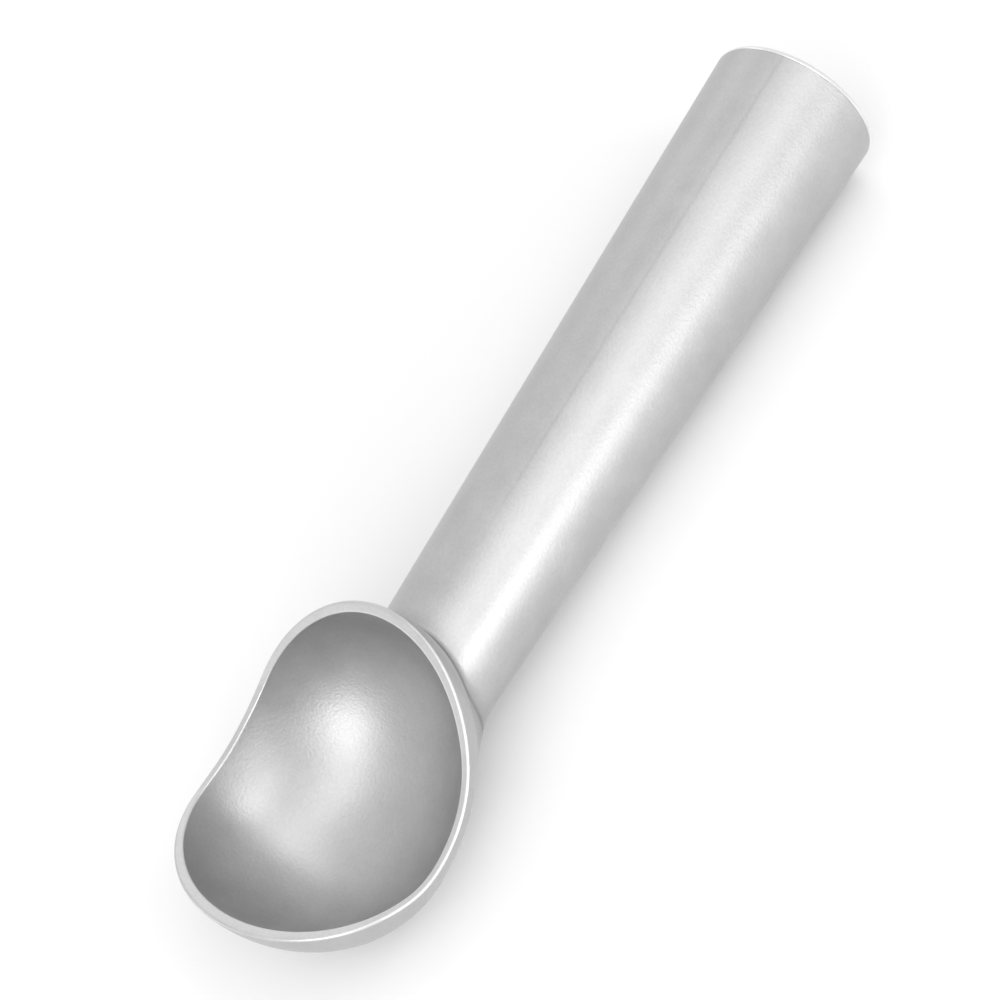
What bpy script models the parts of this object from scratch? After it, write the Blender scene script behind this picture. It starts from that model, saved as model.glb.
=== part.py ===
"""Ice cream scoop: a cast aluminium bowl and hollow handle, closed by a sealed end plug.

Metres, +Z up. The scoop lies on its back: the bowl's underside and the handle's end rest on Z = 0, the
handle's axis runs along +X and the bowl opens upward. The XZ plane is the plane of symmetry, and the
origin is under the middle of the scoop's length.
"""
import bmesh
import bpy
from math import cos, pi, radians, sin, tan

MM = 0.001
WELD = 1e-6               # points closer than this, in metres, are one point

# Driving dimensions, in millimetres.
LENGTH = 178.0
BOWL_FRONT = 23.8         # from the bowl's widest section to its front
BOWL_REAR = 32.7          # from the same section to the back of the bowl, above the handle
BOWL_HALF_WIDTH = 25.6
BOWL_CENTRE_Z = 27.6      # also the bowl's vertical radius, so that its underside touches Z = 0
WALL = 1.3                # of the bowl at its sides and floor
END_WALL = 2.0            # at its front and rear
HANDLE_END_RADIUS = 15.4  # also the height of the handle's axis
HANDLE_NECK_RADIUS = 10.55  # of the handle's cone where it would reach the bowl's widest section
HANDLE_WALL = 3.0
GAP = 0.3                 # clearance between neighbouring pieces
HANDLE_ROOT = 11.0        # the handle's blank starts this far inside the bowl's solid, from the same section

# The rim seen from the side: an arc over the middle, and a straight run to each end.
RIM_LOW_X = 0.8           # from the bowl's widest section
RIM_LOW_Z = 18.9
RIM_ARC_RADIUS = 23.8
RIM_FRONT_SLOPE = radians(16.5)
RIM_REAR_SLOPE = radians(40.0)
RIM_FRONT_REACH = 27.0
RIM_REAR_REACH = 33.5

# The bore of the handle, its plug and what it holds.
BORE_TIP = 33.5           # from the bowl's widest section to the bore's closed end
BORE_DOME = 7.0
FLANGE_THICKNESS = 1.1
FLANGE_INSET = 0.1        # the flange is this much smaller in radius than the handle's end
FLANGE_ROUND = 0.95
CASTING_ROUND = 0.2
SEAT_RADIUS = 12.3
SEAT_DEPTH = 12.5
PLUG_LEAD = 0.8
GROOVE_FROM_FLANGE = 4.0
GROOVE_WIDTH = 2.4
GROOVE_RADIUS = 10.0
RING_SECTION_RADIUS = 0.85
LIQUID_LEVEL = 7.0        # above the handle's axis, with the scoop on its back
CUTTER_MARGIN = 5.0       # how far a cutter runs past what it cuts

TURNED_STEPS = 64
RING_SECTION_STEPS = 16
BOWL_RINGS = 32
ARC_STEPS = 12            # along the rim's arc
DOME_STEPS = 6
EDGE_STEPS = 6

BOWL_X = BOWL_FRONT - LENGTH / 2          # the bowl's widest section in the part's frame
HANDLE_END = LENGTH - BOWL_FRONT          # from the widest section to the plug's outer face
CASTING_END = HANDLE_END - FLANGE_THICKNESS - GAP
SEAT_START = CASTING_END - SEAT_DEPTH
PLUG_RADIUS = SEAT_RADIUS - GAP
PLUG_INNER_END = SEAT_START + GAP


def cone_radius(reach):
    """Outer radius of the handle at a distance from the bowl's widest section."""
    return HANDLE_NECK_RADIUS + (HANDLE_END_RADIUS - HANDLE_NECK_RADIUS) * reach / HANDLE_END


def bore_radius(reach):
    """The drafted bore leaves an even wall inside the handle."""
    return cone_radius(reach) - HANDLE_WALL


def rounded_edge(radius, reach, rounding):
    """Quarter circle of a turned profile that rounds an outer edge, as (radius, reach) points."""
    angles = [pi / 2 * step / EDGE_STEPS for step in range(EDGE_STEPS + 1)]
    return [(radius - rounding * (1 - sin(a)), reach - rounding * (1 - cos(a))) for a in angles]


def dome(radius, reach, depth):
    """Quarter ellipse of a turned profile from a radius down to its tip on the axis."""
    angles = [pi / 2 * step / DOME_STEPS for step in range(DOME_STEPS + 1)]
    return [(radius * cos(a), reach - depth * sin(a)) for a in angles]


def new_collection(name):
    collection = bpy.data.collections.new(name)
    bpy.context.scene.collection.children.link(collection)
    return collection


def place(obj, collection):
    collection.objects.link(obj)
    return obj


def hide_cutter(obj):
    obj.hide_render = True
    obj.display_type = "WIRE"
    return obj


def material(name, colour, roughness, metallic, alpha=1.0):
    mat = bpy.data.materials.new(name)
    mat.use_nodes = True
    shader = mat.node_tree.nodes["Principled BSDF"]
    shader.inputs["Base Color"].default_value = (*colour, 1.0)
    shader.inputs["Roughness"].default_value = roughness
    shader.inputs["Metallic"].default_value = metallic
    shader.inputs["Alpha"].default_value = alpha
    return mat


def turned(name, profile, collection):
    """Solid of revolution about the handle's axis; profile is (radius, reach), far end first."""
    mesh = bpy.data.meshes.new(name)
    points = [(radius * MM, 0.0, reach * MM) for radius, reach in profile]
    mesh.from_pydata(points, [(i, i + 1) for i in range(len(points) - 1)], [])
    obj = place(bpy.data.objects.new(name, mesh), collection)
    screw = obj.modifiers.new("turn", "SCREW")
    screw.axis = "Z"
    screw.steps = TURNED_STEPS
    screw.render_steps = TURNED_STEPS
    screw.use_merge_vertices = True
    screw.merge_threshold = WELD
    screw.use_smooth_shade = True
    obj.rotation_euler = (0.0, pi / 2, 0.0)
    obj.location = (BOWL_X * MM, 0.0, HANDLE_END_RADIUS * MM)
    return obj


def ring(name, ring_radius, section_radius, reach, collection):
    bpy.ops.mesh.primitive_torus_add(
        major_radius=ring_radius * MM,
        minor_radius=section_radius * MM,
        major_segments=TURNED_STEPS,
        minor_segments=RING_SECTION_STEPS,
        location=((BOWL_X + reach) * MM, 0.0, HANDLE_END_RADIUS * MM),
        rotation=(0.0, pi / 2, 0.0),
    )
    obj = bpy.context.object
    obj.name = name
    obj.data.name = name
    for owner in obj.users_collection:
        owner.objects.unlink(obj)
    return place(obj, collection)


def egg(name, end_inset, side_inset, collection):
    """Bowl surface: one ball, stretched by its own length to the front and to the rear."""
    mesh = bpy.data.meshes.new(name)
    bm = bmesh.new()
    bmesh.ops.create_uvsphere(bm, u_segments=TURNED_STEPS, v_segments=BOWL_RINGS, radius=1.0)
    for vertex in bm.verts:
        reach = BOWL_FRONT if vertex.co.x < 0 else BOWL_REAR
        vertex.co.x *= (reach - end_inset) * MM
        vertex.co.y *= (BOWL_HALF_WIDTH - side_inset) * MM
        vertex.co.z *= (BOWL_CENTRE_Z - side_inset) * MM
    bm.to_mesh(mesh)
    bm.free()
    mesh.shade_smooth()
    obj = place(bpy.data.objects.new(name, mesh), collection)
    obj.location = (BOWL_X * MM, 0.0, BOWL_CENTRE_Z * MM)
    return obj


def rim_outline():
    """Side view of everything above the rim, as (x, z) from the bowl's widest section."""
    centre_z = RIM_LOW_Z + RIM_ARC_RADIUS
    angles = [
        -RIM_FRONT_SLOPE + (RIM_FRONT_SLOPE + RIM_REAR_SLOPE) * step / ARC_STEPS
        for step in range(ARC_STEPS + 1)
    ]
    arc = [(RIM_LOW_X + RIM_ARC_RADIUS * sin(a), centre_z - RIM_ARC_RADIUS * cos(a)) for a in angles]
    front_z = arc[0][1] + (RIM_FRONT_REACH + arc[0][0]) * tan(RIM_FRONT_SLOPE)
    rear_z = arc[-1][1] + (RIM_REAR_REACH - arc[-1][0]) * tan(RIM_REAR_SLOPE)
    top_z = 2 * BOWL_CENTRE_Z + CUTTER_MARGIN
    return [
        (-RIM_FRONT_REACH, front_z),
        *arc,
        (RIM_REAR_REACH, rear_z),
        (RIM_REAR_REACH, top_z),
        (-RIM_FRONT_REACH, top_z),
    ]


def slab(name, outline, half_width, collection):
    """Flat outline in the XZ plane, extruded both ways along Y into one closed mesh."""
    curve = bpy.data.curves.new(name, "CURVE")
    curve.dimensions = "2D"
    curve.fill_mode = "BOTH"
    curve.extrude = half_width * MM
    spline = curve.splines.new("POLY")
    spline.points.add(len(outline) - 1)
    for point, (x, z) in zip(spline.points, outline):
        point.co = (x * MM, z * MM, 0.0, 1.0)
    spline.use_cyclic_u = True
    drawn = place(bpy.data.objects.new(name + "_curve", curve), collection)
    drawn.rotation_euler = (pi / 2, 0.0, 0.0)
    drawn.location = (BOWL_X * MM, 0.0, 0.0)
    bpy.context.view_layer.update()
    mesh = bpy.data.meshes.new_from_object(drawn.evaluated_get(bpy.context.evaluated_depsgraph_get()))
    bm = bmesh.new()
    bm.from_mesh(mesh)
    bmesh.ops.remove_doubles(bm, verts=bm.verts, dist=WELD)
    bmesh.ops.recalc_face_normals(bm, faces=bm.faces)
    bm.to_mesh(mesh)
    bm.free()
    obj = place(bpy.data.objects.new(name, mesh), collection)
    obj.matrix_world = drawn.matrix_world
    bpy.data.objects.remove(drawn)
    return obj


def combine(obj, operand, operation):
    boolean = obj.modifiers.new(operation.lower() + "_" + operand.name, "BOOLEAN")
    boolean.operation = operation
    boolean.solver = "EXACT"
    boolean.object = operand
    return obj


def handle_blank(collection):
    """Solid handle, from inside the bowl to its rounded end edge."""
    profile = [
        (0.0, CASTING_END),
        *rounded_edge(cone_radius(CASTING_END), CASTING_END, CASTING_ROUND),
        (cone_radius(HANDLE_ROOT), HANDLE_ROOT),
        (0.0, HANDLE_ROOT),
    ]
    return turned("handle_blank", profile, collection)


def bore_profile(end, inset):
    """Bore from its open end to the domed tip near the bowl."""
    dome_reach = BORE_TIP + BORE_DOME
    tip = dome(bore_radius(dome_reach) - inset, dome_reach, BORE_DOME - inset)
    return [(0.0, end), (bore_radius(end) - inset, end), *tip]


def bore_cutter(collection):
    profile = [
        (0.0, CASTING_END + CUTTER_MARGIN),
        (SEAT_RADIUS, CASTING_END + CUTTER_MARGIN),
        (SEAT_RADIUS, SEAT_START),
        *bore_profile(SEAT_START, 0.0)[1:],
    ]
    return turned("bore_cutter", profile, collection)


def scoop_casting(parts, cutters, aluminium):
    casting = egg("scoop_casting", 0.0, 0.0, parts)
    casting.data.materials.append(aluminium)
    combine(casting, hide_cutter(handle_blank(cutters)), "UNION")
    combine(casting, hide_cutter(egg("bowl_hollow", END_WALL, WALL, cutters)), "DIFFERENCE")
    rim = slab("rim_cutter", rim_outline(), BOWL_HALF_WIDTH + CUTTER_MARGIN, cutters)
    combine(casting, hide_cutter(rim), "DIFFERENCE")
    combine(casting, hide_cutter(bore_cutter(cutters)), "DIFFERENCE")
    return casting


def end_plug(parts, aluminium):
    """Plug with a thin flange over the casting's end and a groove for the sealing ring."""
    flange_radius = HANDLE_END_RADIUS - FLANGE_INSET
    flange_back = HANDLE_END - FLANGE_THICKNESS
    groove_start = flange_back - GROOVE_FROM_FLANGE
    profile = [
        (0.0, HANDLE_END),
        *rounded_edge(flange_radius, HANDLE_END, FLANGE_ROUND),
        (flange_radius, flange_back),
        (PLUG_RADIUS, flange_back),
        (PLUG_RADIUS, groove_start),
        (GROOVE_RADIUS, groove_start),
        (GROOVE_RADIUS, groove_start - GROOVE_WIDTH),
        (PLUG_RADIUS, groove_start - GROOVE_WIDTH),
        (PLUG_RADIUS, PLUG_INNER_END + PLUG_LEAD),
        (PLUG_RADIUS - PLUG_LEAD, PLUG_INNER_END),
        (0.0, PLUG_INNER_END),
    ]
    plug = turned("end_plug", profile, parts)
    plug.data.materials.append(aluminium)
    return plug


def plug_o_ring(parts, rubber):
    groove_middle = HANDLE_END - FLANGE_THICKNESS - GROOVE_FROM_FLANGE - GROOVE_WIDTH / 2
    seal = ring("plug_o_ring", (GROOVE_RADIUS + SEAT_RADIUS) / 2, RING_SECTION_RADIUS, groove_middle, parts)
    seal.data.materials.append(rubber)
    seal.data.shade_smooth()
    return seal


def heat_transfer_fluid(parts, cutters, liquid):
    """The liquid fills the bore up to its level, with the expansion space above it."""
    fluid = turned("heat_transfer_fluid", bore_profile(SEAT_START - GAP, GAP), parts)
    fluid.data.materials.append(liquid)
    level = HANDLE_END_RADIUS + LIQUID_LEVEL
    near = BORE_TIP - CUTTER_MARGIN
    above = [(near, level), (HANDLE_END, level), (HANDLE_END, 2 * level), (near, 2 * level)]
    combine(fluid, hide_cutter(slab("expansion_space", above, HANDLE_END_RADIUS, cutters)), "DIFFERENCE")
    return fluid


def main():
    for obj in list(bpy.data.objects):
        bpy.data.objects.remove(obj)
    parts = new_collection("ice_cream_scoop")
    cutters = new_collection("cutters")
    cast_aluminium = material("cast_aluminium", (0.78, 0.78, 0.79), 0.38, 1.0)
    plug_aluminium = material("plug_aluminium", (0.80, 0.80, 0.81), 0.30, 1.0)
    seal_rubber = material("seal_rubber", (0.03, 0.03, 0.03), 0.60, 0.0)
    clear_liquid = material("clear_liquid", (0.70, 0.85, 0.90), 0.05, 0.0, alpha=0.6)
    scoop_casting(parts, cutters, cast_aluminium)
    end_plug(parts, plug_aluminium)
    plug_o_ring(parts, seal_rubber)
    heat_transfer_fluid(parts, cutters, clear_liquid)


main()
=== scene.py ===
"""Ice cream scoop in satin cast aluminium, lying on its back on a pale floor.

Shapes are worked out in millimetres from the bowl's widest section, with Z up from the floor and the
handle's axis along +X, and are moved into the frame in metres when a mesh is made.
"""
from math import atan, cos, pi, radians, sin, tan

import bmesh
import bpy
import numpy as np
from mathutils import Matrix, Vector


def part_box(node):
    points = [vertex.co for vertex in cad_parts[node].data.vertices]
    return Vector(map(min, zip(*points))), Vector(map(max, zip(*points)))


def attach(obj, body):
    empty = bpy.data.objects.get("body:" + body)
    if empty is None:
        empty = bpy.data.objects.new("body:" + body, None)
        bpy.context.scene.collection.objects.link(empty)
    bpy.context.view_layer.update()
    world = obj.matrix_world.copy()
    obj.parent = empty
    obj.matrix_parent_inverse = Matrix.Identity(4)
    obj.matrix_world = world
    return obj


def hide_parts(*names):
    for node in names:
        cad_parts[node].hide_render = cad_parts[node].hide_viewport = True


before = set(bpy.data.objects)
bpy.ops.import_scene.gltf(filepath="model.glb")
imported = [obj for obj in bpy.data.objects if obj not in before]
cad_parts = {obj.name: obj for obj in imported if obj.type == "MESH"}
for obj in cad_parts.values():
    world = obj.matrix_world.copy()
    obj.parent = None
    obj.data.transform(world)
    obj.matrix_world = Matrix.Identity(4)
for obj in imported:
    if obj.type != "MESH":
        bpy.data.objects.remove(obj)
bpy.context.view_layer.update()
MM = 0.001

# ---------------------------------------------------------------- dimensions, in millimetres
LENGTH = 178.0
GAP = 0.3                 # kept between the pieces inside the handle

BOWL_FRONT = 23.8         # lengths of the bowl's ball ahead of its widest section and behind it
BOWL_REAR = 32.7
BOWL_BLEND = 9.0          # half the stretch over which the front's curve turns into the rear's
BOWL_HALF_WIDTH = 25.6
BOWL_CENTRE_Z = 27.6
WALL = 1.3                # of the bowl at its sides and floor
END_WALL = 2.0            # at its front and rear
OUTER_LIP_ROUND = 0.6
INNER_LIP_ROUND = 0.2

HANDLE_END = LENGTH - BOWL_FRONT
HANDLE_END_RADIUS = 15.4  # also the height of the handle's axis over the floor
HANDLE_NECK_RADIUS = 10.55
HANDLE_WALL = 3.0
HANDLE_ROOT = 11.0        # X at which the handle's cone starts, inside the bowl
HANDLE_JOIN = 48.0        # X past which the casting is simply turned
NECK_BLEND = 1.5          # from bowl to handle, over the handle and under it
CHEEK_BLEND = 7.5         # and on the handle's two sides
CHEEK_HEIGHTS = (2.0, 10.0, 13.0, 21.0)   # where the cheeks start, are full, ease off and end

RIM_LOW_X = 0.8
RIM_LOW_Z = 18.9
RIM_ARC_RADIUS = 23.8
RIM_FRONT_SLOPE = radians(16.5)
RIM_REAR_SLOPE = radians(40.0)

BORE_TIP = 33.5
BORE_DOME = 7.0
FLANGE_THICKNESS = 1.1
FLANGE_RADIUS = HANDLE_END_RADIUS - 0.1
FLANGE_ROUND = 0.95
SEAM = 0.03               # what shows between the casting and the plug's flange
CASTING_ROUND = 0.1
SEAT_RADIUS = 12.3
SEAT_DEPTH = 12.5
SEAT_CHAMFER = 0.3
SEAT_START = HANDLE_END - FLANGE_THICKNESS - GAP - SEAT_DEPTH
PLUG_RADIUS = SEAT_RADIUS - GAP
PLUG_INNER_END = SEAT_START + GAP
PLUG_LEAD = 0.8
GROOVE_START = HANDLE_END - FLANGE_THICKNESS - 4.0
GROOVE_WIDTH = 2.4
GROOVE_RADIUS = 10.0
RING_SECTION_RADIUS = 0.85
LIQUID_LEVEL = HANDLE_END_RADIUS + 7.0
LIQUID_END = SEAT_START - GAP

INNER_INSET = np.array([END_WALL, WALL, WALL])
BOWL_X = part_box("end_plug")[1][0] / MM - HANDLE_END   # X of the bowl's widest section in the frame

# ---------------------------------------------------------------- how finely the meshes are divided
AROUND = 256              # points in each ring
BOWL_RINGS = 72           # in the hollow, and again outside before they are evened
EDGE_RINGS = 10           # in the narrow strip along each edge of the lip
EDGE_STRIP = 1.3 / BOWL_HALF_WIDTH        # the strip's width as an angle of the bowl
EDGE_CROWDING = 1.3       # how much closer the rings lie toward the edge
LIP_RINGS = 15
OUTER_RINGS = 120
NECK_RINGS = 40           # from the crease to where the handle is simply turned
HANDLE_RINGS = 60
BORE_RINGS = 40
DOME_RINGS = 20
POLE = 0.012              # the first ring's share of the way from the bowl's floor to its lip
HUB = 0.4                 # radius of the first ring of a flat end; inside it is a fan
LIP_MARGIN = 3            # rings of the bowl's inside that are ground along with the lip
CAP_POINTS = 2            # the middles of the two fans that close a loft
TURN = np.arange(AROUND) * 2 * pi / AROUND


# ---------------------------------------------------------------- the casting's surface as distances
def smooth_step(value, start, end):
    """0 up to the start, 1 from the end on, and an eased climb between them."""
    part = np.clip((value - start) / (end - start), 0.0, 1.0)
    return part * part * (3 - 2 * part)


def bowl_axes(x, inner):
    """Half-lengths of the bowl's ball at each x; the front's turns smoothly into the rear's."""
    reach = BOWL_FRONT + (BOWL_REAR - BOWL_FRONT) * smooth_step(x, -BOWL_BLEND, BOWL_BLEND)
    across = np.full_like(reach, BOWL_HALF_WIDTH)
    deep = np.full_like(reach, BOWL_CENTRE_Z)
    return np.stack([reach, across, deep], axis=-1) - (INNER_INSET if inner else 0.0)


def bowl_distance(points, inner=False):
    """Distance outside the bowl's outer or inner ball, to first order, and negative inside it."""
    local = points - np.array([0.0, 0.0, BOWL_CENTRE_Z])
    axes = bowl_axes(points[..., 0], inner)
    near = np.linalg.norm(local / axes, axis=-1)
    steep = np.linalg.norm(local / axes**2, axis=-1)
    return near * (near - 1) / steep


def cone_radius(x):
    return HANDLE_NECK_RADIUS + (HANDLE_END_RADIUS - HANDLE_NECK_RADIUS) * x / HANDLE_END


def handle_distance(points):
    """Distance outside the handle's cone, which is cut off inside the bowl."""
    taper = atan((HANDLE_END_RADIUS - HANDLE_NECK_RADIUS) / HANDLE_END)
    from_axis = np.hypot(points[..., 1], points[..., 2] - HANDLE_END_RADIUS)
    cone = (from_axis - cone_radius(points[..., 0])) * cos(taper)
    return np.maximum(cone, HANDLE_ROOT - points[..., 0])


def above_rim(points):
    """Height over the rim's surface, which is an arc with a straight run at each end."""
    x = points[..., 0] - RIM_LOW_X
    down = RIM_LOW_Z + RIM_ARC_RADIUS - points[..., 2]
    turn = np.clip(np.arctan2(x, down), -RIM_FRONT_SLOPE, RIM_REAR_SLOPE)
    return RIM_ARC_RADIUS - x * np.sin(turn) - down * np.cos(turn)


def blended_union(a, b, radius):
    """Two solids together, with a hollow fillet of the given radius where they meet."""
    inside = np.hypot(np.maximum(radius - a, 0), np.maximum(radius - b, 0))
    return np.maximum(radius, np.minimum(a, b)) - inside


def rounded_overlap(a, b, radius):
    """What two solids share, with its edge rounded over by the given radius."""
    outside = np.hypot(np.maximum(a + radius, 0), np.maximum(b + radius, 0))
    return np.minimum(-radius, np.maximum(a, b)) + outside


def solid_distance(points):
    """The casting below its rim, before the bowl's hollow is taken out."""
    start, full, easing, end = CHEEK_HEIGHTS
    cheek = smooth_step(points[..., 2], start, full) - smooth_step(points[..., 2], easing, end)
    blend = NECK_BLEND + (CHEEK_BLEND - NECK_BLEND) * cheek
    body = blended_union(bowl_distance(points), handle_distance(points), blend)
    return rounded_overlap(body, above_rim(points), OUTER_LIP_ROUND)


def hollowed_distance(points):
    """The casting with the bowl's hollow taken out."""
    return rounded_overlap(solid_distance(points), -bowl_distance(points, inner=True), INNER_LIP_ROUND)


def settle(points, distance, rounds=8, step=1e-3, least_steepness=0.2):
    """Moves points onto the surface where the distance is zero, by Newton's method."""
    points = points.copy()
    for _ in range(rounds):
        slope = np.empty_like(points)
        for axis in range(3):
            offset = np.zeros(3)
            offset[axis] = step
            slope[..., axis] = (distance(points + offset) - distance(points - offset)) / (2 * step)
        steepness = np.maximum((slope**2).sum(axis=-1), least_steepness)
        points -= slope * (distance(points) / steepness)[..., None]
    return points


# ---------------------------------------------------------------- rings of points around the casting
def on_bowl(direction, inner=False):
    """Points of the bowl's surface in the given directions from its centre, on a ball of radius 1."""
    x = direction[..., 0] * BOWL_HALF_WIDTH
    for _ in range(12):
        x = direction[..., 0] * bowl_axes(x, inner)[..., 0]
    axes = bowl_axes(x, inner)
    return direction * axes + np.array([0.0, 0.0, BOWL_CENTRE_Z])


def bowl_direction(polar):
    """Directions at a polar angle from straight down, one for each step around the bowl."""
    return np.stack([np.cos(TURN) * np.sin(polar), np.sin(TURN) * np.sin(polar), -np.cos(polar)], axis=-1)


def rim_polar(inner):
    """Polar angle at which the bowl's surface meets the rim, all the way around."""
    low = np.full(AROUND, radians(30.0))
    high = np.full(AROUND, radians(150.0))
    for _ in range(40):
        middle = (low + high) / 2
        over = above_rim(on_bowl(bowl_direction(middle), inner)) > 0
        high = np.where(over, middle, high)
        low = np.where(over, low, middle)
    return (low + high) / 2


def between(start, end, fractions):
    """Steps from the start toward the end, one for each fraction of the way."""
    return [start + (end - start) * fraction for fraction in fractions]


def crease_line():
    """X of the points around the handle at which its bare cone would meet the bowl's outside."""
    x = np.full(AROUND, BOWL_REAR * 0.8)
    for _ in range(30):
        radius = cone_radius(x)
        y = radius * np.sin(TURN)
        z = radius * np.cos(TURN) + HANDLE_END_RADIUS - BOWL_CENTRE_Z
        room = 1 - (y / BOWL_HALF_WIDTH)**2 - (z / BOWL_CENTRE_Z)**2
        x = bowl_axes(x, False)[..., 0] * np.sqrt(np.maximum(room, 1e-6))
    return x


def handle_ring(x):
    """Points around the bare cone at the given X, which may differ from point to point."""
    radius = cone_radius(x)
    return np.stack([x, radius * np.sin(TURN), radius * np.cos(TURN) + HANDLE_END_RADIUS], axis=-1)


def evened(rings, count):
    """The same surface with its rings spread evenly along it."""
    result = np.empty((count, AROUND, 3))
    for column in range(AROUND):
        line = rings[:, column]
        along = np.concatenate([[0.0], np.cumsum(np.linalg.norm(np.diff(line, axis=0), axis=-1))])
        wanted = np.linspace(0.0, along[-1], count)
        for axis in range(3):
            result[:, column, axis] = np.interp(wanted, along, line[:, axis])
    return result


def arc_between(start, end, fraction):
    """Directions along the great circles from start to end."""
    angle = np.arccos(np.clip((start * end).sum(axis=-1), -1.0, 1.0))[..., None]
    return (start * np.sin((1 - fraction) * angle) + end * np.sin(fraction * angle)) / np.sin(angle)


def cast_rings():
    """Rings from the bowl's floor over the lip, down its outside and onto the handle."""
    inner_rim = rim_polar(True)
    outer_rim = rim_polar(False)
    inner_start = inner_rim - EDGE_STRIP
    outer_start = outer_rim - EDGE_STRIP
    inside = []
    for part in np.linspace(POLE, 1.0, BOWL_RINGS):
        inside.append(on_bowl(bowl_direction(inner_start * part), True))
    toward_edge = 1 - (1 - np.linspace(0.0, 1.0, EDGE_RINGS)[1:]) ** EDGE_CROWDING
    for polar in between(inner_start, inner_rim, toward_edge):
        inside.append(on_bowl(bowl_direction(polar), True))
    outer_lip = on_bowl(bowl_direction(outer_rim))
    inside += between(inside[-1], outer_lip, np.linspace(0.0, 1.0, LIP_RINGS)[1:])
    lip = []
    for polar in between(outer_rim, outer_start, 1 - toward_edge[::-1][1:]):
        lip.append(on_bowl(bowl_direction(polar)))

    crease_x = crease_line()
    target = (handle_ring(crease_x) - np.array([0.0, 0.0, BOWL_CENTRE_Z])) / bowl_axes(crease_x, False)
    target /= np.linalg.norm(target, axis=-1)[..., None]
    leaving = bowl_direction(outer_start)
    outside = []
    for part in np.linspace(0.0, 1.0, BOWL_RINGS):
        outside.append(on_bowl(arc_between(leaving, target, part)))
    for part in np.linspace(0.0, 1.0, NECK_RINGS)[1:]:
        outside.append(handle_ring(crease_x + (HANDLE_JOIN - crease_x) * part))
    for _ in range(3):
        outside = evened(settle(np.array(outside), solid_distance), OUTER_RINGS)

    inside = settle(np.array(inside), hollowed_distance)
    lip = settle(np.array(lip), solid_distance)
    outside = settle(outside, solid_distance)
    return np.concatenate([inside, lip, outside])


def arc_points(centre_x, centre_radius, size, start, end, count):
    """Arc of a turned profile as (x, radius) points; the angle is 0 outward and 90 degrees toward +X."""
    angles = np.linspace(radians(start), radians(end), count)
    return [(centre_x + size * sin(a), centre_radius + size * cos(a)) for a in angles]


def turned_rings(profile):
    """Rings around the handle's axis, one for each (x, radius) point."""
    rings = []
    for x, radius in profile:
        y = radius * np.sin(TURN)
        z = radius * np.cos(TURN) + HANDLE_END_RADIUS
        rings.append(np.stack([np.full(AROUND, float(x)), y, z], axis=-1))
    return np.array(rings)


def bore_points(start_x, inset):
    """Bore from its wide end to just short of the tip of its dome, as (x, radius) points."""
    dome_x = BORE_TIP + BORE_DOME
    points = [(x, cone_radius(x) - HANDLE_WALL - inset) for x in np.linspace(start_x, dome_x, BORE_RINGS)]
    dome_radius = points[-1][1]
    for angle in np.linspace(0.0, radians(88.0), DOME_RINGS)[1:]:
        points.append((dome_x - (BORE_DOME - inset) * sin(angle), dome_radius * cos(angle)))
    return points


def casting_end_points():
    """The handle from where it is simply turned, round its end and down its bore."""
    end_x = HANDLE_END - FLANGE_THICKNESS - SEAM
    outer = cone_radius(end_x)
    edge_x, edge_radius = end_x - CASTING_ROUND, outer - CASTING_ROUND
    points = [(x, cone_radius(x)) for x in np.linspace(HANDLE_JOIN, edge_x, HANDLE_RINGS)[1:]]
    points += arc_points(edge_x, edge_radius, CASTING_ROUND, 0.0, 90.0, 8)[1:]
    points += [(end_x, radius) for radius in np.linspace(edge_radius, SEAT_RADIUS + SEAT_CHAMFER, 4)[1:]]
    points += [(end_x - SEAT_CHAMFER, SEAT_RADIUS)]
    points += [(x, SEAT_RADIUS) for x in np.linspace(end_x - SEAT_CHAMFER, SEAT_START, 8)[1:]]
    return points + bore_points(SEAT_START, 0.0)


# ---------------------------------------------------------------- meshes
def lofted(name, rings):
    """Closed mesh through rings of points; each end is closed by a fan on its middle."""
    count = len(rings)
    points = rings.reshape(-1, 3)
    caps = np.array([rings[0].mean(axis=0), rings[-1].mean(axis=0)])
    vertices = (np.concatenate([points, caps]) + np.array([BOWL_X, 0.0, 0.0])) * MM
    faces = []
    for row in range(count - 1):
        for i in range(AROUND):
            j = (i + 1) % AROUND
            near, far = row * AROUND, (row + 1) * AROUND
            faces.append((near + i, near + j, far + j, far + i))
    last = (count - 1) * AROUND
    for i in range(AROUND):
        j = (i + 1) % AROUND
        faces.append((count * AROUND, j, i))
        faces.append((count * AROUND + 1, last + i, last + j))
    mesh = bpy.data.meshes.new(name)
    mesh.from_pydata(vertices.tolist(), [], faces)
    return finished(name, mesh)


def finished(name, mesh):
    """Object in the scene with the mesh's faces turned outward and shaded smooth."""
    bm = bmesh.new()
    bm.from_mesh(mesh)
    bmesh.ops.recalc_face_normals(bm, faces=bm.faces)
    bm.to_mesh(mesh)
    bm.free()
    mesh.shade_smooth()
    obj = bpy.data.objects.new(name, mesh)
    bpy.context.scene.collection.objects.link(obj)
    return obj


def stand_for(piece, node, material):
    """Gives the piece its material and lets it take the place of a CAD node."""
    piece.data.materials.append(material)
    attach(piece, "root")
    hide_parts(node)


def paint(piece, material, faces):
    """Gives some faces of the piece a second material."""
    piece.data.materials.append(material)
    for face in faces:
        face.material_index = 1


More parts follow.
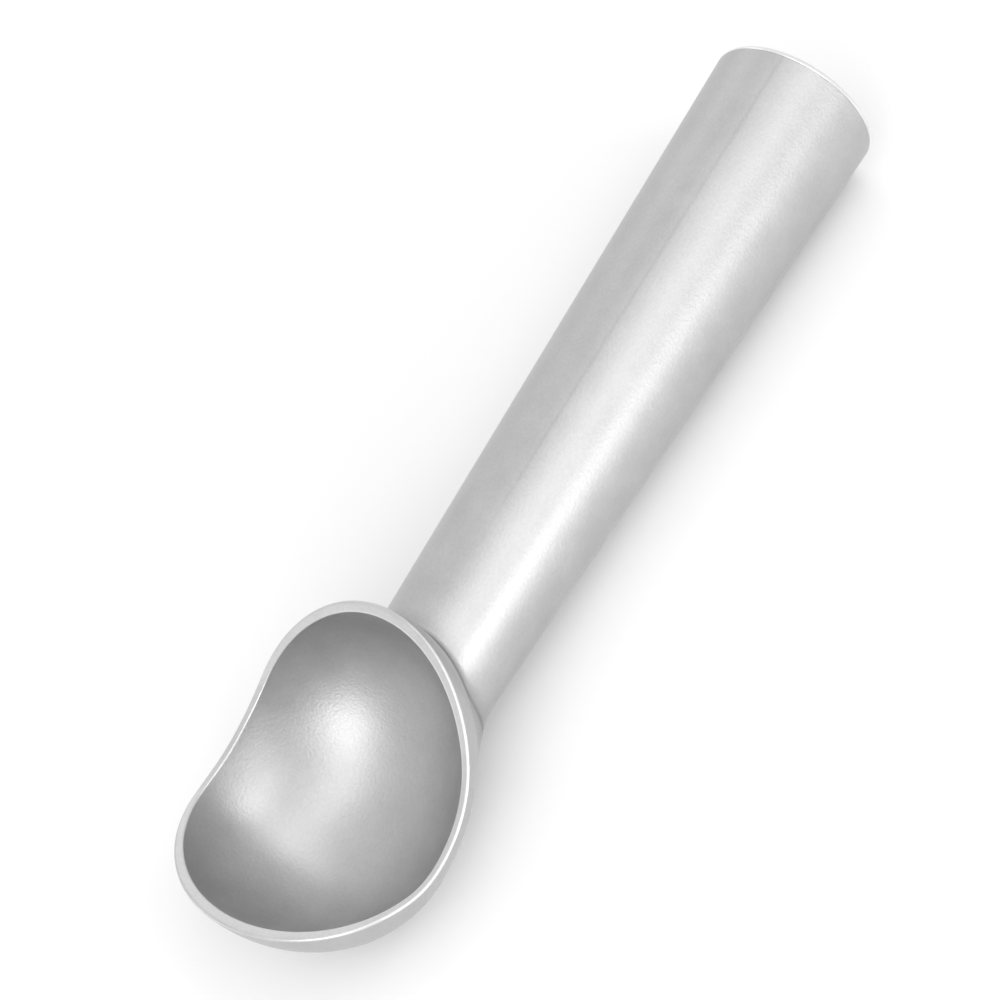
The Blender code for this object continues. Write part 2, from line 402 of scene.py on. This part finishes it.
# ---------------------------------------------------------------- materials
CLOUD_SCALE = 150.0       # noise scales, in cycles a metre
PIT_SCALE = 2000.0
PIT_DEPTH = 0.00006
GLOSS_SPREAD = 0.03       # how far roughness strays to either side
# Painted shade: the casting's base colour is darkened along the crease at the neck
CREASE_WIDTH = 0.7        # of the painted shade's dark line along the crease, in millimetres
CREASE_REACH = 4.0        # and of the softer band of painted shade around it
CREASE_PAINTED_SHADE = 0.45
JOINT_TURN = radians(-12.0)
JOINT_HALF_WIDTH = radians(2.2)
JOINT_DARKENING = 0.09
JOINT_FADE = 0.02         # metres over which the line comes in, past the neck
MIX_DARK, MIX_LIGHT, MIX_RESULT = 6, 7, 2   # the colour sockets of a Mix node


class Graph:
    """Short way to add shader nodes and link them."""

    def __init__(self, name):
        self.material = bpy.data.materials.new(name)
        self.material.use_nodes = True
        self.tree = self.material.node_tree
        self.shader = self.tree.nodes["Principled BSDF"]

    def add(self, kind, settings=None, **inputs):
        node = self.tree.nodes.new("ShaderNode" + kind)
        for key, value in (settings or {}).items():
            setattr(node, key, value)
        for key, value in inputs.items():
            self.feed(node.inputs[key.replace("_", " ")], value)
        return node

    def feed(self, socket, value):
        if isinstance(value, bpy.types.NodeSocket):
            self.tree.links.new(value, socket)
        else:
            socket.default_value = value

    def position(self):
        return self.add("TexCoord").outputs["Object"]

    def noise(self, scale, detail=4.0, roughness=0.55):
        node = self.add("TexNoise", Vector=self.position(), Scale=scale, Detail=detail, Roughness=roughness)
        return node.outputs["Fac"]

    def spread(self, value, low, high, start=0.3, end=0.7):
        """Takes a value's range from start to end onto low to high; a noise keeps mostly to 0.3 to 0.7."""
        node = self.add("MapRange", Value=value, From_Min=start, From_Max=end, To_Min=low, To_Max=high)
        return node.outputs["Result"]

    def math(self, operation, *values):
        node = self.add("Math", {"operation": operation})
        for socket, value in zip(node.inputs, values):
            self.feed(socket, value)
        return node.outputs["Value"]

    def two_tone(self, factor, dark, light):
        node = self.add("Mix", {"data_type": "RGBA"})
        self.feed(node.inputs["Factor"], factor)
        self.feed(node.inputs[MIX_DARK], (*dark, 1.0))
        self.feed(node.inputs[MIX_LIGHT], (*light, 1.0))
        return node.outputs[MIX_RESULT]


def aluminium(name, tone, roughness, grain):
    """Satin aluminium: fine blasted grain, faint clouds of tone and slightly uneven gloss."""
    graph = Graph(name)
    clouds = graph.noise(CLOUD_SCALE, detail=7.0, roughness=0.7)
    pits = graph.noise(PIT_SCALE, detail=3.0, roughness=0.55)
    bump = graph.add("Bump", Strength=grain, Distance=PIT_DEPTH, Height=pits)
    specks = graph.spread(pits, 0.965, 1.035)
    tones = graph.math("MULTIPLY", specks, graph.spread(clouds, 0.95 * tone, 1.05 * tone))
    gloss = graph.spread(clouds, roughness - GLOSS_SPREAD, roughness + GLOSS_SPREAD)
    graph.feed(graph.shader.inputs["Base Color"], tones)
    graph.feed(graph.shader.inputs["Metallic"], 1.0)
    graph.feed(graph.shader.inputs["Roughness"], gloss)
    graph.feed(graph.shader.inputs["Normal"], bump.outputs["Normal"])
    return graph, tones


def cast_aluminium(name, tone, roughness, grain):
    """As aluminium, with painted shade in the neck's crease and the faint line of a dressed mould joint."""
    graph, tones = aluminium(name, tone, roughness, grain)
    crease = graph.add("Attribute", {"attribute_name": "crease"}).outputs["Fac"]
    place = graph.add("SeparateXYZ", Vector=graph.position())
    above_axis = graph.math("SUBTRACT", place.outputs["Z"], HANDLE_END_RADIUS * MM)
    turn = graph.math("ARCTAN2", place.outputs["Y"], above_axis)
    from_joint = graph.math("ABSOLUTE", graph.math("SUBTRACT", turn, JOINT_TURN))
    joint = graph.spread(from_joint, JOINT_DARKENING, 0.0, 0.0, JOINT_HALF_WIDTH)
    neck = (BOWL_X + HANDLE_JOIN) * MM
    on_handle = graph.spread(place.outputs["X"], 0.0, 1.0, neck, neck + JOINT_FADE)
    joint = graph.math("MULTIPLY", joint, on_handle)
    tones = graph.math("MULTIPLY", tones, graph.math("SUBTRACT", 1.0, joint))
    # painted shade: the base colour is darkened along the crease at the neck
    tones = graph.math("MULTIPLY", tones, graph.spread(crease, 1.0, 1.0 - CREASE_PAINTED_SHADE, 0.0, 1.0))
    graph.feed(graph.shader.inputs["Base Color"], tones)
    return graph.material


def moulded_rubber(name):
    graph = Graph(name)
    bloom = graph.noise(700.0)
    graph.feed(graph.shader.inputs["Base Color"], graph.spread(bloom, 0.012, 0.035))
    graph.feed(graph.shader.inputs["Roughness"], graph.spread(bloom, 0.5, 0.7))
    return graph.material


def clear_liquid(name):
    graph = Graph(name)
    swirl = graph.noise(90.0)
    colours = graph.two_tone(swirl, (0.62, 0.82, 0.88), (0.72, 0.88, 0.93))
    graph.feed(graph.shader.inputs["Base Color"], colours)
    graph.feed(graph.shader.inputs["Roughness"], 0.04)
    graph.feed(graph.shader.inputs["IOR"], 1.34)
    graph.feed(graph.shader.inputs["Transmission Weight"], 0.9)
    return graph.material


# ---------------------------------------------------------------- pieces
def painted_crease_shade(points):
    """Painted shade on the casting: 1 where bowl and handle are equally near, and 0 inside the hollow."""
    bowl = bowl_distance(points)
    handle = handle_distance(points)
    outside = np.minimum(bowl, handle) > -0.25 * WALL
    line = 1.0 - smooth_step(np.abs(bowl - handle), 0.0, CREASE_WIDTH)
    soft_shade = 1.0 - smooth_step(np.abs(bowl - handle), 0.0, CREASE_REACH)
    return np.where(outside, 0.6 * line + 0.4 * soft_shade, 0.0)


def make_casting():
    """Bowl and hollow handle in one, with a brighter lip that has been ground."""
    rings = np.concatenate([cast_rings(), turned_rings(casting_end_points())])
    casting = lofted("scoop_casting_fine", rings)
    casting.data.set_sharp_from_angle(angle=radians(50.0))
    # painted shade for the crease at the neck, kept on the points for the material to darken
    shades = painted_crease_shade(rings.reshape(-1, 3))
    attribute = casting.data.attributes.new("crease", "FLOAT", "POINT")
    attribute.data.foreach_set("value", np.concatenate([shades, np.zeros(CAP_POINTS)]))
    stand_for(casting, "scoop_casting", cast_aluminium("cast_skin", 0.48, 0.45, 0.7))
    first = BOWL_RINGS + EDGE_RINGS - LIP_MARGIN
    last = BOWL_RINGS + EDGE_RINGS + LIP_RINGS + 1
    lip = casting.data.polygons[first * AROUND:last * AROUND]
    paint(casting, aluminium("ground_lip", 0.57, 0.36, 0.4)[0].material, lip)


def make_plug():
    """Shank with a groove for the ring, and a flange with a rounded edge that covers the handle's end."""
    back_x = HANDLE_END - FLANGE_THICKNESS
    round_x, round_radius = HANDLE_END - FLANGE_ROUND, FLANGE_RADIUS - FLANGE_ROUND
    profile = [(HANDLE_END, radius) for radius in np.linspace(HUB, round_radius, 16)]
    profile += arc_points(round_x, round_radius, FLANGE_ROUND, 90.0, 0.0, 16)[1:]
    profile += [(back_x, FLANGE_RADIUS), (back_x, PLUG_RADIUS), (GROOVE_START, PLUG_RADIUS)]
    profile += [(GROOVE_START, GROOVE_RADIUS), (GROOVE_START - GROOVE_WIDTH, GROOVE_RADIUS)]
    profile += [(GROOVE_START - GROOVE_WIDTH, PLUG_RADIUS), (PLUG_INNER_END + PLUG_LEAD, PLUG_RADIUS)]
    profile += [(PLUG_INNER_END, radius) for radius in np.linspace(PLUG_RADIUS - PLUG_LEAD, HUB, 12)]
    plug = lofted("end_plug_fine", turned_rings(profile))
    plug.data.set_sharp_from_angle(angle=radians(40.0))
    stand_for(plug, "end_plug", aluminium("plug_skin", 0.78, 0.32, 0.35)[0].material)
    # painted shade: the end face and the back of the flange's rounded edge take a darker copy of the plug's
    # aluminium
    face_x = (BOWL_X + HANDLE_END - FLANGE_ROUND / 3) * MM
    shaded_end_faces = [face for face in plug.data.polygons if face.center.x > face_x]
    paint(plug, aluminium("plug_end_painted_shade", 0.48, 0.34, 0.35)[0].material, shaded_end_faces)


def make_ring():
    """Sealing ring, standing free in the middle of the plug's groove."""
    bpy.ops.mesh.primitive_torus_add(
        major_radius=(GROOVE_RADIUS + SEAT_RADIUS) / 2 * MM,
        minor_radius=RING_SECTION_RADIUS * MM,
        major_segments=144,
        minor_segments=32,
    )
    drawn = bpy.context.object
    mesh = drawn.data
    middle = Vector(((BOWL_X + GROOVE_START - GROOVE_WIDTH / 2) * MM, 0.0, HANDLE_END_RADIUS * MM))
    mesh.transform(Matrix.Translation(middle) @ Matrix.Rotation(pi / 2, 4, "Y"))
    bpy.data.objects.remove(drawn)
    seal = finished("plug_o_ring_fine", mesh)
    stand_for(seal, "plug_o_ring", moulded_rubber("ring_rubber"))


def make_liquid():
    """The liquid's body is turned like the bore and cut off at its level."""
    profile = [(LIQUID_END, radius) for radius in (HUB, 3.0, 6.0, 9.0)]
    profile += bore_points(LIQUID_END, GAP)
    liquid = lofted("heat_transfer_fluid_fine", turned_rings(profile))
    bm = bmesh.new()
    bm.from_mesh(liquid.data)
    everything = bm.verts[:] + bm.edges[:] + bm.faces[:]
    level = Vector((0.0, 0.0, LIQUID_LEVEL * MM))
    cut = bmesh.ops.bisect_plane(bm, geom=everything, plane_co=level, plane_no=(0, 0, 1), clear_outer=True)
    rim = [item for item in cut["geom_cut"] if isinstance(item, bmesh.types.BMEdge)]
    bmesh.ops.holes_fill(bm, edges=rim)
    bm.to_mesh(liquid.data)
    bm.free()
    liquid.data.set_sharp_from_angle(angle=radians(40.0))
    stand_for(liquid, "heat_transfer_fluid", clear_liquid("liquid"))


# ---------------------------------------------------------------- stage, light and camera
FLOOR_SIZE = 8.0          # metres, as is the lamps' distance
FLOOR_GLOW = 0.02
ROOM_LIGHT = 1.0
LAMP_DISTANCE = 1.2
SOFTBOXES = (             # name, azimuth, elevation, width, height and radiance; angles in degrees
    ("side_strip", 262.0, 5.5, 18.0, 8.0, 7.5),
    ("side_low", 277.0, 19.0, 26.0, 12.0, 6.2),
    ("side_top", 300.0, 48.0, 40.0, 18.0, 1.45),
    ("front_low", 217.0, 18.0, 24.0, 12.0, 3.8),
    ("front", 207.0, 31.0, 26.0, 14.0, 4.15),
    ("front_high", 208.0, 46.0, 26.0, 16.0, 1.1),
    ("front_top", 225.0, 64.0, 36.0, 18.0, 1.8),
    ("rear_left", 135.0, 6.0, 36.0, 12.0, 1.35),
    ("right", 54.0, 27.0, 16.0, 16.0, 0.8),
    ("overhead", 330.0, 66.0, 46.0, 22.0, 0.8),
)
CAMERA_AZIMUTH = -29.99   # the camera stands at -Y and toward the bowl's front
CAMERA_ELEVATION = 50.01
CAMERA_ROLL = -33.31
CAMERA_PLACE = (-0.16986, -0.28466, 0.41705)
CAMERA_LENS = 112.28
CAMERA_SENSOR = 36.0


def make_floor():
    """Pale acrylic sheet, lit a little from below as on a product table."""
    bpy.ops.mesh.primitive_plane_add(size=FLOOR_SIZE)
    floor = bpy.context.object
    floor.name = "floor"
    graph = Graph("pale_floor")
    graph.feed(graph.shader.inputs["Base Color"], graph.spread(graph.noise(3.0), 0.75, 0.77))
    graph.feed(graph.shader.inputs["Roughness"], 0.9)
    graph.feed(graph.shader.inputs["Specular IOR Level"], 0.2)
    graph.feed(graph.shader.inputs["Emission Color"], (1.0, 1.0, 1.0, 1.0))
    graph.feed(graph.shader.inputs["Emission Strength"], FLOOR_GLOW)
    floor.data.materials.append(graph.material)


def heading(azimuth, elevation):
    """Direction with azimuth counted from +X toward +Y, in degrees."""
    turn, rise = radians(azimuth), radians(elevation)
    return Vector((cos(turn) * cos(rise), sin(turn) * cos(rise), sin(rise)))


def make_softbox(name, azimuth, elevation, width, height, radiance):
    """Rectangular lamp of a width and height in degrees as the scoop sees it, facing the scoop."""
    lamp = bpy.data.lights.new(name, "AREA")
    lamp.shape = "RECTANGLE"
    lamp.size = 2 * LAMP_DISTANCE * tan(radians(width / 2))
    lamp.size_y = 2 * LAMP_DISTANCE * tan(radians(height / 2))
    lamp.energy = radiance * pi * lamp.size * lamp.size_y
    obj = bpy.data.objects.new(name, lamp)
    bpy.context.scene.collection.objects.link(obj)
    toward = heading(azimuth, elevation)
    obj.location = toward * LAMP_DISTANCE
    obj.rotation_euler = toward.to_track_quat("Z", "Y").to_euler()
    obj.visible_camera = False


def make_room():
    """Even white surroundings."""
    world = bpy.data.worlds.new("studio")
    bpy.context.scene.world = world
    world.use_nodes = True
    background = world.node_tree.nodes["Background"]
    background.inputs["Color"].default_value = (1.0, 1.0, 1.0, 1.0)
    background.inputs["Strength"].default_value = ROOM_LIGHT


def make_camera():
    data = bpy.data.cameras.new("camera")
    data.lens = CAMERA_LENS
    data.sensor_width = CAMERA_SENSOR
    data.clip_start = 0.01
    camera = bpy.data.objects.new("camera", data)
    bpy.context.scene.collection.objects.link(camera)
    turn = Matrix.Rotation(radians(CAMERA_AZIMUTH), 4, "Z")
    tilt = Matrix.Rotation(radians(90.0 - CAMERA_ELEVATION), 4, "X")
    roll = Matrix.Rotation(radians(CAMERA_ROLL), 4, "Z")
    camera.matrix_world = Matrix.Translation(CAMERA_PLACE) @ turn @ tilt @ roll
    bpy.context.scene.camera = camera
    bpy.context.scene.view_settings.view_transform = "Standard"


make_camera()
make_floor()
make_room()
for box in SOFTBOXES:
    make_softbox(*box)
make_casting()
make_plug()
make_ring()
make_liquid()
bpy.context.view_layer.update()
